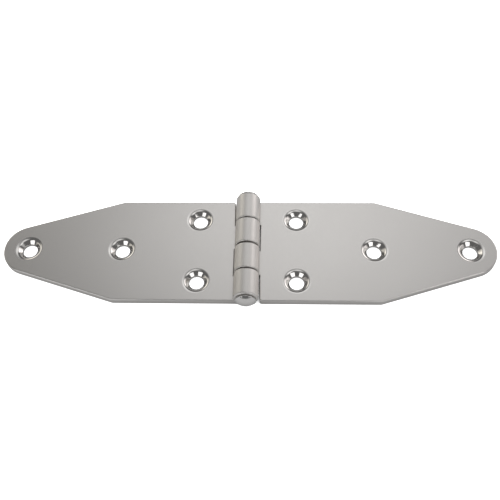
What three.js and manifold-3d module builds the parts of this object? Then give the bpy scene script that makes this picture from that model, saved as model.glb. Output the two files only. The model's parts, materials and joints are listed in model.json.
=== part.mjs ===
// Strap hinge: two tapered sheet-metal leaves rolled into knuckles around one round-head pin.
// Millimetres. +X runs along the leaves, +Y along the pin, +Z up from the flat mounting plane.
// The origin is on the mounting plane, under the middle of the barrel.

import * as THREE from 'three';
import { mergeVertices } from 'three/addons/utils/BufferGeometryUtils.js';
import Module from 'manifold-3d';

// Leaves
const OPEN_LENGTH = 200;
const LEAF_WIDTH = 46.4;
const SHEET = 3;
const TAPER_START_X = 52.7;
const NOSE_RADIUS = 10.9;

// Knuckles, from the back end (+Y) to the front end (-Y)
const BARREL_LENGTH = 47.2;
const BARREL_RADIUS = 5;
const CURL_DEGREES = 290;
const KNUCKLE_PITCH = 11.8;
const MIDDLE_GAP_Y = -0.3;
const KNUCKLE_GAPS = [0.4, 0.7, 0.5];
const KNUCKLE_OWNERS = ['right', 'left', 'right', 'left'];
const NOTCH_CLEARANCE = 0.3;
const CORNER_CUT = 1;

// Pin
const PIN_CLEARANCE = 0.05;
const HEAD_RADIUS = 4.2;
const HEAD_GAP = 0.2;
const HEAD_RIM = 0.3;
const HEAD_HEIGHT = 2.1;

// Screw holes: distance from the pin and from the leaf's centreline
const HOLE_PLACES = [
  [19.9, 14.3],
  [19.9, -14.3],
  [51.2, 0],
  [89.6, 0],
];
const HOLE_RADIUS = 3;
const COUNTERSINK_RIM_RADIUS = 4.8;

// Facets of the round stretches
const HOLE_SIDES = 32;
const PIN_SIDES = 48;
const CURL_STEPS = 58;
const NOSE_STEPS = 24;
const DOME_STEPS = 6;

// How far a cutting shape reaches past what it cuts
const OVERCUT = 1;

const AXIS_Z = BARREL_RADIUS;
const BORE_RADIUS = BARREL_RADIUS - SHEET;
const NOTCH_EDGE_X = BARREL_RADIUS + NOTCH_CLEARANCE;
const HALF_WIDTH = LEAF_WIDTH / 2;
const HALF_BARREL = BARREL_LENGTH / 2;
const NOSE_X = OPEN_LENGTH / 2 - NOSE_RADIUS;

const wasm = await Module();
wasm.setup();

function toSolid(geometry) {
  const bare = geometry.clone();
  bare.deleteAttribute('normal');
  bare.deleteAttribute('uv');
  const merged = mergeVertices(bare);
  const vertProperties = new Float32Array(merged.attributes.position.array);
  const triVerts = new Uint32Array(merged.index.array);
  return new wasm.Manifold(new wasm.Mesh({ numProp: 3, vertProperties, triVerts }));
}

function toGeometry(solid) {
  const mesh = solid.getMesh();
  const geometry = new THREE.BufferGeometry();
  geometry.setAttribute('position', new THREE.BufferAttribute(mesh.vertProperties, 3));
  geometry.setIndex(new THREE.BufferAttribute(mesh.triVerts, 1));
  return geometry;
}

function arcPoints(centreX, centreY, radius, from, to, steps) {
  const points = [];
  for (let i = 0; i <= steps; i += 1) {
    const angle = from + ((to - from) * i) / steps;
    const x = centreX + radius * Math.cos(angle);
    const y = centreY + radius * Math.sin(angle);
    points.push(new THREE.Vector2(x, y));
  }
  return points;
}

// The leaf on side +1 lies towards +X, and side -1 is its mirror image.
function mirrored(points, side) {
  return points.map((point) => new THREE.Vector2(side * point.x, point.y));
}

// Each knuckle's stretch of the barrel, between the middles of the gaps less half of each gap's width.
function knuckleSpans() {
  const last = KNUCKLE_OWNERS.length - 1;
  const middles = KNUCKLE_GAPS.map((gap, i) => MIDDLE_GAP_Y + (1 - i) * KNUCKLE_PITCH);
  return KNUCKLE_OWNERS.map((owner, i) => {
    const back = i === 0 ? HALF_BARREL : middles[i - 1] - KNUCKLE_GAPS[i - 1] / 2;
    const front = i === last ? -HALF_BARREL : middles[i] + KNUCKLE_GAPS[i] / 2;
    return { owner, back, front };
  });
}

// Section across the pin: flat sheet that leaves the mounting plane and curls once around the bore.
function rolledSection() {
  const start = -Math.PI / 2;
  const end = start - THREE.MathUtils.degToRad(CURL_DEGREES);
  const far = OPEN_LENGTH / 2 + OVERCUT;
  return [
    new THREE.Vector2(far, 0),
    ...arcPoints(0, AXIS_Z, BARREL_RADIUS, start, end, CURL_STEPS),
    ...arcPoints(0, AXIS_Z, BORE_RADIUS, end, start, CURL_STEPS),
    new THREE.Vector2(far, SHEET),
  ];
}

// Half the angle of the nose arc, where the straight tapers meet it without a corner.
function noseHalfAngle() {
  const back = TAPER_START_X - NOSE_X;
  const toCorner = Math.atan2(HALF_WIDTH, back);
  return toCorner - Math.acos(NOSE_RADIUS / Math.hypot(back, HALF_WIDTH));
}

// One knuckle's tab, which stands out past the pin until it is rolled. Between tabs the edge is a notch.
function knuckleTab(span) {
  const tabX = -BARREL_RADIUS - OVERCUT;
  return [
    new THREE.Vector2(NOTCH_EDGE_X, span.back),
    new THREE.Vector2(tabX, span.back),
    new THREE.Vector2(tabX, span.front),
    new THREE.Vector2(NOTCH_EDGE_X, span.front),
  ];
}

// The leaf's corner at one end of the barrel: square beside an own knuckle, cut off beside the other leaf's.
function barrelCorner(end, own) {
  const y = end * HALF_WIDTH;
  if (own) {
    return [new THREE.Vector2(NOTCH_EDGE_X, y)];
  }
  const outer = new THREE.Vector2(NOTCH_EDGE_X + CORNER_CUT, y);
  const inner = new THREE.Vector2(NOTCH_EDGE_X, y - end * CORNER_CUT);
  return end > 0 ? [outer, inner] : [inner, outer];
}

// Seen from above: round nose, straight tapers, and an inner edge notched around the other leaf's knuckles.
function planOutline(owner) {
  const half = noseHalfAngle();
  return [
    ...arcPoints(NOSE_X, 0, NOSE_RADIUS, -half, half, NOSE_STEPS),
    new THREE.Vector2(TAPER_START_X, HALF_WIDTH),
    ...barrelCorner(1, KNUCKLE_OWNERS[0] === owner),
    ...knuckleSpans().filter((span) => span.owner === owner).flatMap(knuckleTab),
    ...barrelCorner(-1, KNUCKLE_OWNERS.at(-1) === owner),
    new THREE.Vector2(TAPER_START_X, -HALF_WIDTH),
  ];
}

function rolledBlank(side) {
  const depth = BARREL_LENGTH + 2 * OVERCUT;
  const section = new THREE.Shape(mirrored(rolledSection(), side));
  const geometry = new THREE.ExtrudeGeometry(section, { depth, bevelEnabled: false });
  geometry.rotateX(Math.PI / 2);
  geometry.translate(0, depth / 2, 0);
  return toSolid(geometry);
}

function planPrism(owner, side) {
  const depth = 2 * BARREL_RADIUS + 2 * OVERCUT;
  const outline = new THREE.Shape(mirrored(planOutline(owner), side));
  const geometry = new THREE.ExtrudeGeometry(outline, { depth, bevelEnabled: false });
  geometry.translate(0, 0, -OVERCUT);
  return toSolid(geometry);
}

// A straight hole that opens at 90 degrees to the countersink's rim at the sheet's top face.
function countersunkCutter(x, y) {
  const cone = COUNTERSINK_RIM_RADIUS - HOLE_RADIUS;
  const profile = [
    new THREE.Vector2(0, -OVERCUT),
    new THREE.Vector2(HOLE_RADIUS, -OVERCUT),
    new THREE.Vector2(HOLE_RADIUS, SHEET - cone),
    new THREE.Vector2(COUNTERSINK_RIM_RADIUS + OVERCUT, SHEET + OVERCUT),
    new THREE.Vector2(0, SHEET + OVERCUT),
  ];
  const geometry = new THREE.LatheGeometry(profile, HOLE_SIDES);
  geometry.rotateX(Math.PI / 2);
  geometry.translate(x, y, 0);
  return toSolid(geometry);
}

function leafMesh(owner, side, material) {
  let leaf = rolledBlank(side).intersect(planPrism(owner, side));
  for (const [x, y] of HOLE_PLACES) {
    leaf = leaf.subtract(countersunkCutter(side * x, y));
  }
  const mesh = new THREE.Mesh(toGeometry(leaf), material);
  mesh.name = `${owner}_leaf`;
  return mesh;
}

// Half of the pin's profile, from mid-length out over the head's low dome to the axis.
function halfPinProfile() {
  const seat = HALF_BARREL + HEAD_GAP;
  const dome = HEAD_HEIGHT - HEAD_RIM;
  const domeRadius = (HEAD_RADIUS ** 2 + dome ** 2) / (2 * dome);
  const start = Math.acos(HEAD_RADIUS / domeRadius);
  const centre = seat + HEAD_HEIGHT - domeRadius;
  const crown = arcPoints(0, centre, domeRadius, start, Math.PI / 2, DOME_STEPS);
  crown[DOME_STEPS].x = 0;
  return [
    new THREE.Vector2(BORE_RADIUS - PIN_CLEARANCE, seat),
    new THREE.Vector2(HEAD_RADIUS, seat),
    ...crown,
  ];
}

function pinMesh(material) {
  const front = halfPinProfile();
  const back = front.map((point) => new THREE.Vector2(point.x, -point.y)).reverse();
  const geometry = new THREE.LatheGeometry([...back, ...front], PIN_SIDES);
  const mesh = new THREE.Mesh(geometry, material);
  mesh.name = 'hinge_pin';
  mesh.position.z = AXIS_Z;
  return mesh;
}

function steel(color, roughness) {
  return new THREE.MeshStandardMaterial({ color, roughness, metalness: 1 });
}

const hinge = new THREE.Group();
hinge.add(leafMesh('left', -1, steel(0xb9b8b4, 0.38)));
hinge.add(leafMesh('right', 1, steel(0xb9b8b4, 0.38)));
hinge.add(pinMesh(steel(0xc6c6c4, 0.25)));

export default hinge;
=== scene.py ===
import json
import math

import bmesh
import bpy
from mathutils import Matrix, Vector


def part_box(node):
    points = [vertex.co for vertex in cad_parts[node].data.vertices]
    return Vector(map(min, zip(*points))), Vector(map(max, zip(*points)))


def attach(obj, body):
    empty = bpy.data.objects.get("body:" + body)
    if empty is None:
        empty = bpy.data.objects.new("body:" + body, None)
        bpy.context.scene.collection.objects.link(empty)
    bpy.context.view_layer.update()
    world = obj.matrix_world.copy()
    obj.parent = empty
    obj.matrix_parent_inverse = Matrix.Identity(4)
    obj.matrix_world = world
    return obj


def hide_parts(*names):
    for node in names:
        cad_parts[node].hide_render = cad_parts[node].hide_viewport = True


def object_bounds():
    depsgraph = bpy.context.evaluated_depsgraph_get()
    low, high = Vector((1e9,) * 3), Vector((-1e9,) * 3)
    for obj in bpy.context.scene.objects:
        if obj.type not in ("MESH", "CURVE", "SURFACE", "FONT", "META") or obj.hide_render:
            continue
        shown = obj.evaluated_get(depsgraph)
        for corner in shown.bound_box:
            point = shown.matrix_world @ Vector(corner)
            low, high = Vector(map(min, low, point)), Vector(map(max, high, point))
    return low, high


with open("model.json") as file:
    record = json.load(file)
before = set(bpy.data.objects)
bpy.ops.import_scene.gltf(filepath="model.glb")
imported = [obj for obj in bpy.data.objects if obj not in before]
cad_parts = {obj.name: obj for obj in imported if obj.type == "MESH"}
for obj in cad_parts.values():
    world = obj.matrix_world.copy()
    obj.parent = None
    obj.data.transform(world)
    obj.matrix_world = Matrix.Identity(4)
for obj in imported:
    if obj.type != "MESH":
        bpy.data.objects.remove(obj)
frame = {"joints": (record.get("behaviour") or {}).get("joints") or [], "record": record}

CAD_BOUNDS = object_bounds()
MM = 0.001

# ---- Sizes read from the frame -------------------------------------------------------------------

LEAF_LOW, LEAF_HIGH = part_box("right_leaf")
PIN_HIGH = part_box("hinge_pin")[1]
AXIS_Z = frame["joints"][0]["pos_m"][2]
HALF_LENGTH = LEAF_HIGH[0]
BARREL_RADIUS = -LEAF_LOW[0]
HALF_BARREL = LEAF_HIGH[1]
HALF_WIDTH = -LEAF_LOW[1]
HEAD_RADIUS = PIN_HIGH[0]
HEAD_TOP = PIN_HIGH[1]

# ---- Driving dimensions of the sheet-metal parts, as in the CAD model ----------------------------

SHEET = 3 * MM
TAPER_START = 52.7 * MM
NOSE_RADIUS = 10.9 * MM
CURL_ANGLE = math.radians(290)
KNUCKLE_PITCH = 11.8 * MM
MIDDLE_GAP_Y = -0.3 * MM
KNUCKLE_GAPS = (0.4 * MM, 0.7 * MM, 0.5 * MM)
KNUCKLE_OWNERS = ("right", "left", "right", "left")
NOTCH_CLEARANCE = 0.3 * MM
CORNER_ROUND = 1 * MM
HOLE_RADIUS = 3 * MM
RIM_RADIUS = 4.8 * MM
PIN_RADIUS = 1.95 * MM
HEAD_GAP = 0.2 * MM

# ---- Worn and polished edges, which the faceted solids leave sharp -------------------------------

TOP_EDGE = 0.55 * MM
NOTCH_TOP_EDGE = 0.25 * MM
UNDER_EDGE = 0.3 * MM
KNUCKLE_EDGE = 0.5 * MM
BARREL_END_EDGE = 0.9 * MM
BORE_EDGE = 0.15 * MM
RIM_ROUND = 2.2 * MM
THROAT_ROUND = 0.3 * MM
UNDER_ROUND = 0.25 * MM
HEAD_EDGE = 0.4 * MM

# ---- Roughness of each finish --------------------------------------------------------------------

SATIN = 0.34
DRAWN = 0.46
POLISHED = 0.09
TURNED = 0.13

# ---- Mesh fineness -------------------------------------------------------------------------------

CURL_STEPS = 72
EDGE_STEPS = 5
NOSE_STEPS = 40
HOLE_SIDES = 72
PIN_SIDES = 96
DOME_STEPS = 15
ROOT_STEPS = 8

# A face whose normal leans less than this from the vertical counts as flat.
LEVEL = math.cos(math.radians(0.3))

# ---- Sizes that follow from those above -------------------------------------------------------------

NOTCH_EDGE = BARREL_RADIUS + NOTCH_CLEARANCE
HEAD_SEAT = HALF_BARREL + HEAD_GAP
BORE_RADIUS = BARREL_RADIUS - SHEET
NEUTRAL_RADIUS = (BARREL_RADIUS + BORE_RADIUS) / 2
CURL_LENGTH = CURL_ANGLE * NEUTRAL_RADIUS


# ---- Leaf: a flat blank with broken edges, then rolled round the pin -----------------------------
# u runs along the leaf from under the pin, v across it, and w up through the sheet.
# Where u is negative the sheet curls.


def smooth_step(x):
    x = min(1.0, max(0.0, x))
    return x * x * (3 - 2 * x)


def arc(centre_u, centre_v, radius, start, end, steps):
    turns = [start + (end - start) * i / steps for i in range(steps + 1)]
    return [(centre_u + radius * math.cos(a), centre_v + radius * math.sin(a)) for a in turns]


def knuckle_spans():
    """(owner, back, front) of each knuckle, from the back end of the barrel to the front end."""
    middles = [MIDDLE_GAP_Y + (1 - i) * KNUCKLE_PITCH for i in range(len(KNUCKLE_GAPS))]
    backs = [HALF_BARREL] + [middle - gap / 2 for middle, gap in zip(middles, KNUCKLE_GAPS)]
    fronts = [middle + gap / 2 for middle, gap in zip(middles, KNUCKLE_GAPS)] + [-HALF_BARREL]
    return list(zip(KNUCKLE_OWNERS, backs, fronts))


def side_of_knuckle(v):
    """Outline points (u, v, top edge, under edge) of a knuckle's side, from the leaf to the curl's tip."""
    at_end = abs(v) > HALF_WIDTH
    rim = BARREL_END_EDGE if at_end else KNUCKLE_EDGE
    root_edge = TOP_EDGE if at_end else NOTCH_TOP_EDGE
    side = []
    for i in range(ROOT_STEPS + 1):
        u = NOTCH_EDGE * (1 - i / ROOT_STEPS)
        rolled = smooth_step(i / ROOT_STEPS)
        edge_v = math.copysign(HALF_WIDTH + (abs(v) - HALF_WIDTH) * rolled, v) if at_end else v
        top = root_edge + (BORE_EDGE - root_edge) * rolled
        under = UNDER_EDGE + (rim - UNDER_EDGE) * rolled
        side.append((u, edge_v, top, under))
    for i in range(1, CURL_STEPS + 1):
        side.append((-CURL_LENGTH * i / CURL_STEPS, v, BORE_EDGE, rim))
    return side


def blank_outline(owner):
    """Outline points (u, v, top edge, under edge), anticlockwise, and the index range of each curl."""
    points = []
    curls = []

    def plain(pairs):
        points.extend((u, v, TOP_EDGE, UNDER_EDGE) for u, v in pairs)

    back = TAPER_START - (HALF_LENGTH - NOSE_RADIUS)
    half = math.atan2(HALF_WIDTH, back) - math.acos(NOSE_RADIUS / math.hypot(back, HALF_WIDTH))
    plain(arc(HALF_LENGTH - NOSE_RADIUS, 0, NOSE_RADIUS, -half, half, NOSE_STEPS))
    plain([(TAPER_START, HALF_WIDTH)])
    corner = NOTCH_EDGE + CORNER_ROUND
    if KNUCKLE_OWNERS[0] != owner:
        plain(arc(corner, HALF_WIDTH - CORNER_ROUND, CORNER_ROUND, math.pi / 2, math.pi, EDGE_STEPS))
    for knuckle_owner, back_v, front_v in knuckle_spans():
        if knuckle_owner == owner:
            start = len(points) + ROOT_STEPS
            points.extend(side_of_knuckle(back_v))
            points.extend(side_of_knuckle(front_v)[::-1])
            curls.append((start, len(points) - 1 - ROOT_STEPS))
    if KNUCKLE_OWNERS[-1] != owner:
        front_corner = -HALF_WIDTH + CORNER_ROUND
        plain(arc(corner, front_corner, CORNER_ROUND, math.pi, 1.5 * math.pi, EDGE_STEPS))
    plain([(TAPER_START, -HALF_WIDTH)])
    return points, curls


def miters(points):
    """For each outline point, the outward step that moves both of its edges out by one."""
    steps = []
    for i, point in enumerate(points):
        before, after = points[i - 1], points[(i + 1) % len(points)]
        first = Vector((point[1] - before[1], before[0] - point[0])).normalized()
        second = Vector((after[1] - point[1], point[0] - after[0])).normalized()
        steps.append((first + second) / (1 + first.dot(second)))
    return steps


def edge_profile():
    """(share of the edge's radius inwards, share of it in depth) from the side wall round to the face."""
    turns = [math.pi / 2 * i / EDGE_STEPS for i in range(EDGE_STEPS + 1)]
    return [(1 - math.cos(a), 1 - math.sin(a)) for a in turns]


def hole_profile():
    """(radius, w) from the leaf's top face down the 90-degree countersink and the throat to its back."""
    cone = math.pi * 3 / 4
    reach = math.tan(math.pi / 8)
    rim_centre = RIM_RADIUS + RIM_ROUND * reach
    rim = arc(rim_centre, SHEET - RIM_ROUND, RIM_ROUND, math.pi / 2, cone, EDGE_STEPS)
    throat_top = SHEET - (RIM_RADIUS - HOLE_RADIUS) - THROAT_ROUND * reach
    throat = arc(HOLE_RADIUS + THROAT_ROUND, throat_top, THROAT_ROUND, cone, math.pi, EDGE_STEPS)
    under = arc(HOLE_RADIUS + UNDER_ROUND, UNDER_ROUND, UNDER_ROUND, math.pi, math.pi * 3 / 2, EDGE_STEPS)
    return rim + throat + under


def rolled(u, v, w, side):
    """Where a point of the flat blank ends up. side is +1 for the right leaf and -1 for the left."""
    if u >= 0:
        return Vector((side * u, v, w))
    turn = -math.pi / 2 + u / NEUTRAL_RADIUS
    radius = BARREL_RADIUS - w
    return Vector((side * radius * math.cos(turn), v, AXIS_Z + radius * math.sin(turn)))


def add_band(bm, first, second):
    """A closed band of quads between two loops of vertices."""
    for i, vert in enumerate(first):
        after = (i + 1) % len(first)
        bm.faces.new((vert, first[after], second[after], second[i]))


def finished_mesh(bm, name):
    """The bmesh as a smooth-shaded mesh. A vertex on a flat face is shaded with that face's normal."""
    bmesh.ops.recalc_face_normals(bm, faces=bm.faces)
    normals = []
    for vert in bm.verts:
        flat = [face for face in vert.link_faces if abs(face.normal.z) > LEVEL]
        total = sum((face.normal * face.calc_area() for face in flat or vert.link_faces), Vector())
        normals.append(total.normalized())
    mesh = bpy.data.meshes.new(name)
    bm.to_mesh(mesh)
    bm.free()
    for face in mesh.polygons:
        face.use_smooth = True
    mesh.normals_split_custom_set_from_vertices(normals)
    return mesh


def leaf_mesh(owner, side):
    """The rolled leaf's mesh. Its attribute finish holds the roughness of each part of the surface."""
    bm = bmesh.new()
    finish = bm.verts.layers.float.new("finish")
    points, curls = blank_outline(owner)
    steps = miters(points)

    def ring(inset_share, depth_share, top):
        verts = []
        for (u, v, top_edge, under_edge), step in zip(points, steps):
            radius = top_edge if top else under_edge
            w = SHEET - radius * depth_share if top else radius * depth_share
            moved = Vector((u, v)) - step * radius * inset_share
            vert = bm.verts.new(rolled(moved[0], moved[1], w, side))
            vert[finish] = SATIN if u > 0 else DRAWN
            verts.append(vert)
        return verts

    profile = edge_profile()
    top_rings = [ring(inset, depth, True) for inset, depth in profile]
    under_rings = [ring(inset, depth, False) for inset, depth in profile]
    rings = under_rings[::-1] + top_rings
    for first, second in zip(rings, rings[1:]):
        add_band(bm, first, second)
    for face_ring in (top_rings[-1], under_rings[-1]):
        for start, end in curls:
            fill_curl(bm, face_ring, start, end)

    hole_loops = [countersink(bm, centre, finish) for centre in hole_centres(owner)]
    fill_flat(bm, top_rings[-1], curls, [loops[0] for loops in hole_loops])
    fill_flat(bm, under_rings[-1], curls, [loops[-1] for loops in hole_loops])
    return finished_mesh(bm, owner + "_leaf_steel")


def fill_curl(bm, ring, start, end):
    """The skin of one curl, as a strip between its two sides."""
    while end - start > 1:
        bm.faces.new((ring[start], ring[start + 1], ring[end - 1], ring[end]))
        start += 1
        end -= 1


def fill_flat(bm, ring, curls, holes):
    """One flat face of the leaf, between its outline, the roots of its curls and its holes."""
    outline = []
    index = 0
    while index < len(ring):
        outline.append(ring[index])
        jump = [end for start, end in curls if start == index]
        index = jump[0] if jump else index + 1
    edges = []
    for loop in [outline] + holes:
        for i, vert in enumerate(loop):
            pair = (vert, loop[(i + 1) % len(loop)])
            edges.append(bm.edges.get(pair) or bm.edges.new(pair))
    bmesh.ops.triangle_fill(bm, edges=edges, use_beauty=True, normal=(0, 0, 1))


def hole_centres(owner):
    """The screw holes' centres, from the openings that the record states for this leaf."""
    centres = []
    for opening in frame["record"]["physics"]["openings"]:
        if opening["name"].startswith(owner):
            low, high = opening["box_m"]
            centres.append(((low[0] + high[0]) / 2, (low[1] + high[1]) / 2))
    return centres


def countersink(bm, centre, finish):
    """One screw hole's loops of vertices, from the leaf's top face to its back, joined by quads."""
    loops = []
    for radius, w in hole_profile():
        loop = []
        for i in range(HOLE_SIDES):
            turn = 2 * math.pi * i / HOLE_SIDES
            x = centre[0] + radius * math.cos(turn)
            y = centre[1] + radius * math.sin(turn)
            loop.append(bm.verts.new((x, y, w)))
        loops.append(loop)
    for first, second in zip(loops, loops[1:]):
        add_band(bm, first, second)
    for loop in loops:
        for vert in loop:
            vert[finish] = SATIN if loop in (loops[0], loops[-1]) else POLISHED
    return loops


# ---- Pin: shaft and two low round heads ----------------------------------------------------------


def half_pin_profile():
    """(radius, distance along the pin) from under a head, over its rounded edge and dome, to the tip."""
    dome = HEAD_TOP - HEAD_SEAT - HEAD_EDGE
    dome_radius = (HEAD_RADIUS**2 + dome**2) / (2 * dome)
    start = math.acos(HEAD_RADIUS / dome_radius)
    centre = HEAD_TOP - dome_radius
    crown = arc(0, centre, dome_radius, start, math.pi / 2, DOME_STEPS)[:-1]
    inner = HEAD_RADIUS - HEAD_EDGE
    edge = arc(inner, HEAD_SEAT + HEAD_EDGE, HEAD_EDGE, -math.pi / 2, start, EDGE_STEPS)[:-1]
    return [(PIN_RADIUS, 0), (PIN_RADIUS, HEAD_SEAT), *edge, *crown]


def pin_mesh():
    bm = bmesh.new()
    front = half_pin_profile()
    profile = [(r, -y) for r, y in reversed(front[1:])] + front[1:]
    loops = []
    for radius, y in profile:
        loop = []
        for i in range(PIN_SIDES):
            turn = 2 * math.pi * i / PIN_SIDES
            loop.append(bm.verts.new((radius * math.cos(turn), y, AXIS_Z + radius * math.sin(turn))))
        loops.append(loop)
    for first, second in zip(loops, loops[1:]):
        add_band(bm, first, second)
    for loop, y in ((loops[0], -HEAD_TOP), (loops[-1], HEAD_TOP)):
        tip = bm.verts.new((0, y, AXIS_Z))
        for i in range(PIN_SIDES):
            bm.faces.new((loop[i], loop[(i + 1) % PIN_SIDES], tip))
    return finished_mesh(bm, "pin_steel")


# ---- Materials -----------------------------------------------------------------------------------

STEEL = (0.732, 0.714, 0.694)
TURNED_STEEL = (0.76, 0.75, 0.74)
CLOUD_SCALE = 45.0
CLOUD_DETAIL = 2.0
CLOUD_DEPTH = 0.02
GRAIN_SCALE = 900.0
GRAIN_DETAIL = 3.0
GRAIN_STRENGTH = 0.06
GRAIN_DEPTH = 0.02 * MM
WEAR = 0.12


def new_material(name):
    material = bpy.data.materials.new(name)
    material.use_nodes = True
    nodes = material.node_tree.nodes
    return material, nodes, material.node_tree.links, nodes["Principled BSDF"]


def steel_material(name, colour, dull):
    """Bare steel with fine grain. dull is a roughness, or the name of the mesh attribute that holds it."""
    material, nodes, links, shader = new_material(name)
    shader.inputs["Metallic"].default_value = 1.0
    place = nodes.new("ShaderNodeTexCoord")

    def noise(scale, detail):
        texture = nodes.new("ShaderNodeTexNoise")
        texture.inputs["Scale"].default_value = scale
        texture.inputs["Detail"].default_value = detail
        links.new(place.outputs["Object"], texture.inputs["Vector"])
        return texture.outputs["Fac"]

    def remapped(value, low, high):
        ramp = nodes.new("ShaderNodeMapRange")
        ramp.inputs["To Min"].default_value = low
        ramp.inputs["To Max"].default_value = high
        links.new(value, ramp.inputs["Value"])
        return ramp.outputs["Result"]

    cloud = noise(CLOUD_SCALE, CLOUD_DETAIL)
    grain = noise(GRAIN_SCALE, GRAIN_DETAIL)
    tint = nodes.new("ShaderNodeMix")
    tint.data_type = "RGBA"
    tint.inputs["A"].default_value = [channel * (1 - CLOUD_DEPTH) for channel in colour] + [1.0]
    tint.inputs["B"].default_value = [channel * (1 + CLOUD_DEPTH) for channel in colour] + [1.0]
    links.new(cloud, tint.inputs["Factor"])
    links.new(tint.outputs["Result"], shader.inputs["Base Color"])
    if isinstance(dull, str):
        finish = nodes.new("ShaderNodeAttribute")
        finish.attribute_name = dull
        worn = nodes.new("ShaderNodeMath")
        worn.operation = "MULTIPLY"
        links.new(finish.outputs["Fac"], worn.inputs[0])
        links.new(remapped(grain, 1 - WEAR, 1 + WEAR), worn.inputs[1])
        links.new(worn.outputs["Value"], shader.inputs["Roughness"])
    else:
        links.new(remapped(grain, dull * (1 - WEAR), dull * (1 + WEAR)), shader.inputs["Roughness"])
    bump = nodes.new("ShaderNodeBump")
    bump.inputs["Strength"].default_value = GRAIN_STRENGTH
    bump.inputs["Distance"].default_value = GRAIN_DEPTH
    links.new(grain, bump.inputs["Height"])
    links.new(bump.outputs["Normal"], shader.inputs["Normal"])
    return material


# ---- Pieces --------------------------------------------------------------------------------------


def add_piece(name, mesh, material, body, node):
    piece = bpy.data.objects.new(name, mesh)
    bpy.context.scene.collection.objects.link(piece)
    mesh.materials.append(material)
    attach(piece, body)
    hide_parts(node)


LEAF_STEEL = steel_material("satin_steel", STEEL, "finish")
PIN_STEEL = steel_material("turned_steel", TURNED_STEEL, TURNED)

add_piece("left_leaf_rolled", leaf_mesh("left", -1), LEAF_STEEL, "left_leaf", "left_leaf")
add_piece("right_leaf_rolled", leaf_mesh("right", 1), LEAF_STEEL, "right_leaf", "right_leaf")
add_piece("hinge_pin_turned", pin_mesh(), PIN_STEEL, "pin", "hinge_pin")


# ---- Camera --------------------------------------------------------------------------------------

CAMERA_AIM = Vector((0.98, 1.52, 0)) * MM
CAMERA_DISTANCE = 284.6 * MM
CAMERA_AZIMUTH = math.radians(4.52)
CAMERA_ELEVATION = math.radians(59.0)
CAMERA_ROLL = math.radians(-3.63)
CAMERA_LENS = 50.02
SENSOR_WIDTH = 36
NEAR_CLIP = 10 * MM


def add_camera():
    data = bpy.data.cameras.new("camera")
    data.lens = CAMERA_LENS
    data.sensor_width = SENSOR_WIDTH
    data.clip_start = NEAR_CLIP
    camera = bpy.data.objects.new("camera", data)
    bpy.context.scene.collection.objects.link(camera)
    level = math.cos(CAMERA_ELEVATION)
    back = Vector(
        (
            math.sin(CAMERA_AZIMUTH) * level,
            -math.cos(CAMERA_AZIMUTH) * level,
            math.sin(CAMERA_ELEVATION),
        )
    )
    right = Vector((math.cos(CAMERA_AZIMUTH), math.sin(CAMERA_AZIMUTH), 0))
    up = back.cross(right)
    turn = Matrix((right, up, back)).transposed().to_4x4()
    place = Matrix.Translation(CAMERA_AIM + back * CAMERA_DISTANCE)
    camera.matrix_world = place @ turn @ Matrix.Rotation(CAMERA_ROLL, 4, "Z")
    bpy.context.scene.camera = camera


# ---- Stage and light -----------------------------------------------------------------------------

FLOOR_REACH = 3.0
FLOOR_GAP = 0.2 * MM
FLOOR_REFLECTED = 0.55
FLOOR_SEEN = 3.0
SHADOW_REACH = 12 * MM
SHADOW_SAMPLES = 8
ROOM_FILL = 0.14
ROOM_SEEN = 1.0


def add_floor():
    """A glowing white floor the camera sees overexposed, so to it painted shade darkens only the slits
    under the metal.
    """
    bm = bmesh.new()
    bmesh.ops.create_grid(bm, x_segments=1, y_segments=1, size=FLOOR_REACH)
    mesh = bpy.data.meshes.new("floor")
    bm.to_mesh(mesh)
    bm.free()
    floor = bpy.data.objects.new("floor", mesh)
    floor.location.z = CAD_BOUNDS[0][2] - FLOOR_GAP
    bpy.context.scene.collection.objects.link(floor)
    material, nodes, links, shader = new_material("pale_floor")
    shader.inputs["Base Color"].default_value = (0.0, 0.0, 0.0, 1.0)
    shader.inputs["Specular IOR Level"].default_value = 0.0
    shader.inputs["Emission Color"].default_value = (1.0, 1.0, 1.0, 1.0)
    openness = nodes.new("ShaderNodeAmbientOcclusion")
    openness.samples = SHADOW_SAMPLES
    openness.inputs["Distance"].default_value = SHADOW_REACH
    ray = nodes.new("ShaderNodeLightPath")
    exposure = nodes.new("ShaderNodeMapRange")
    exposure.inputs["To Min"].default_value = FLOOR_REFLECTED
    exposure.inputs["To Max"].default_value = FLOOR_SEEN
    links.new(ray.outputs["Is Camera Ray"], exposure.inputs["Value"])
    glow = nodes.new("ShaderNodeMath")
    glow.operation = "MULTIPLY"
    # Painted shade: ambient occlusion dims the floor's glow under and beside the metal, also where the
    # metal reflects it.
    links.new(openness.outputs["AO"], glow.inputs[0])
    links.new(exposure.outputs["Result"], glow.inputs[1])
    links.new(glow.outputs["Value"], shader.inputs["Emission Strength"])
    mesh.materials.append(material)


def add_panel(name, place, aim, size, radiance, colour=(1.0, 1.0, 1.0)):
    """An evenly lit rectangular panel."""
    data = bpy.data.lights.new(name, "AREA")
    data.shape = "RECTANGLE"
    data.size, data.size_y = size
    data.energy = radiance * size[0] * size[1] * math.pi
    data.color = colour
    light = bpy.data.objects.new(name, data)
    light.location = place
    light.rotation_euler = (Vector(place) - Vector(aim)).to_track_quat("Z", "Y").to_euler()
    light.visible_camera = False
    bpy.context.scene.collection.objects.link(light)
    return light


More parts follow.
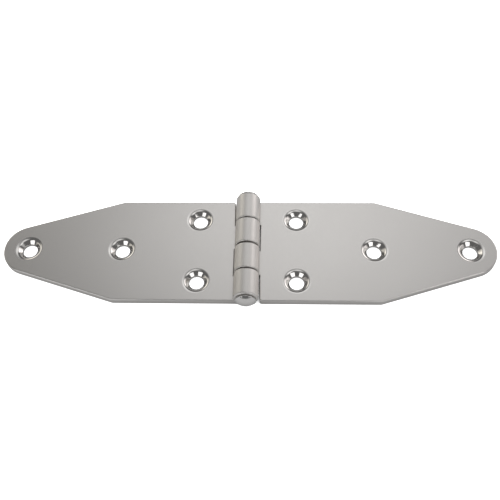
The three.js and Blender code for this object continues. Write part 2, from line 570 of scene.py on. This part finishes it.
def add_softbox(name, place, aim, size, radiance, colour=(1.0, 1.0, 1.0)):
    """A panel that is brightest in the middle and fades out to its edges."""
    light = add_panel(name, place, aim, size, radiance, colour)
    light.data.use_nodes = True
    nodes = light.data.node_tree.nodes
    links = light.data.node_tree.links
    place_on_light = nodes.new("ShaderNodeTexCoord")
    centred = nodes.new("ShaderNodeMapping")
    centred.inputs["Location"].default_value = (-1.0, -1.0, 0.0)
    centred.inputs["Scale"].default_value = (2.0, 2.0, 0.0)
    links.new(place_on_light.outputs["UV"], centred.inputs["Vector"])
    fade = nodes.new("ShaderNodeTexGradient")
    fade.gradient_type = "SPHERICAL"
    links.new(centred.outputs["Vector"], fade.inputs["Vector"])
    soft = nodes.new("ShaderNodeMapRange")
    soft.interpolation_type = "SMOOTHSTEP"
    links.new(fade.outputs["Fac"], soft.inputs["Value"])
    links.new(soft.outputs["Result"], nodes["Emission"].inputs["Strength"])


def add_world(name):
    """Even light from all round. The camera sees it as white as the floor."""
    world = bpy.data.worlds.new(name)
    world.use_nodes = True
    nodes = world.node_tree.nodes
    ray = nodes.new("ShaderNodeLightPath")
    exposure = nodes.new("ShaderNodeMapRange")
    exposure.inputs["To Min"].default_value = ROOM_FILL
    exposure.inputs["To Max"].default_value = ROOM_SEEN
    world.node_tree.links.new(ray.outputs["Is Camera Ray"], exposure.inputs["Value"])
    background = nodes["Background"]
    background.inputs["Color"].default_value = (1.0, 1.0, 1.0, 1.0)
    world.node_tree.links.new(exposure.outputs["Result"], background.inputs["Strength"])
    bpy.context.scene.world = world


CENTRE = (0.0, 0.0, 0.0)
LOW_AIM = (0.0, 0.0, 0.05)
WARM = (1.0, 0.96, 0.87)
ROSE = (1.0, 0.96, 0.95)

add_camera()
add_floor()
add_world("studio")
add_softbox("overhead", (0.03, 0.24, 0.3), (0.03, 0.24, 0.0), (0.7, 0.6), 0.92)
add_softbox("above_camera", (0.0, -0.15, 0.5), CENTRE, (0.6, 0.5), 0.8)
add_softbox("above_right", (0.3, -0.1, 0.45), CENTRE, (0.5, 0.5), 1.1)
add_softbox("back_left", (-0.4, 0.5, 0.2), CENTRE, (0.5, 0.5), 1.5, WARM)
add_softbox("back_right", (0.4, 0.5, 0.2), CENTRE, (0.5, 0.5), 2.1, ROSE)
add_softbox("far_left", (-0.8, 0.5, 0.5), CENTRE, (0.8, 0.8), 0.9, WARM)
add_softbox("far_right", (0.8, 0.5, 0.5), CENTRE, (0.8, 0.8), 1.4, ROSE)
add_softbox("left_wall", (-0.5, 0.1, 0.1), LOW_AIM, (0.8, 0.25), 0.8, WARM)
add_softbox("right_wall", (0.5, 0.1, 0.1), LOW_AIM, (0.8, 0.25), 1.1, ROSE)
for side in (-1, 1):
    add_panel("front_card", (side * 0.51, -0.61, 0.31), CENTRE, (0.5, 0.38), 1.5)
bpy.context.scene.view_settings.view_transform = "Standard"
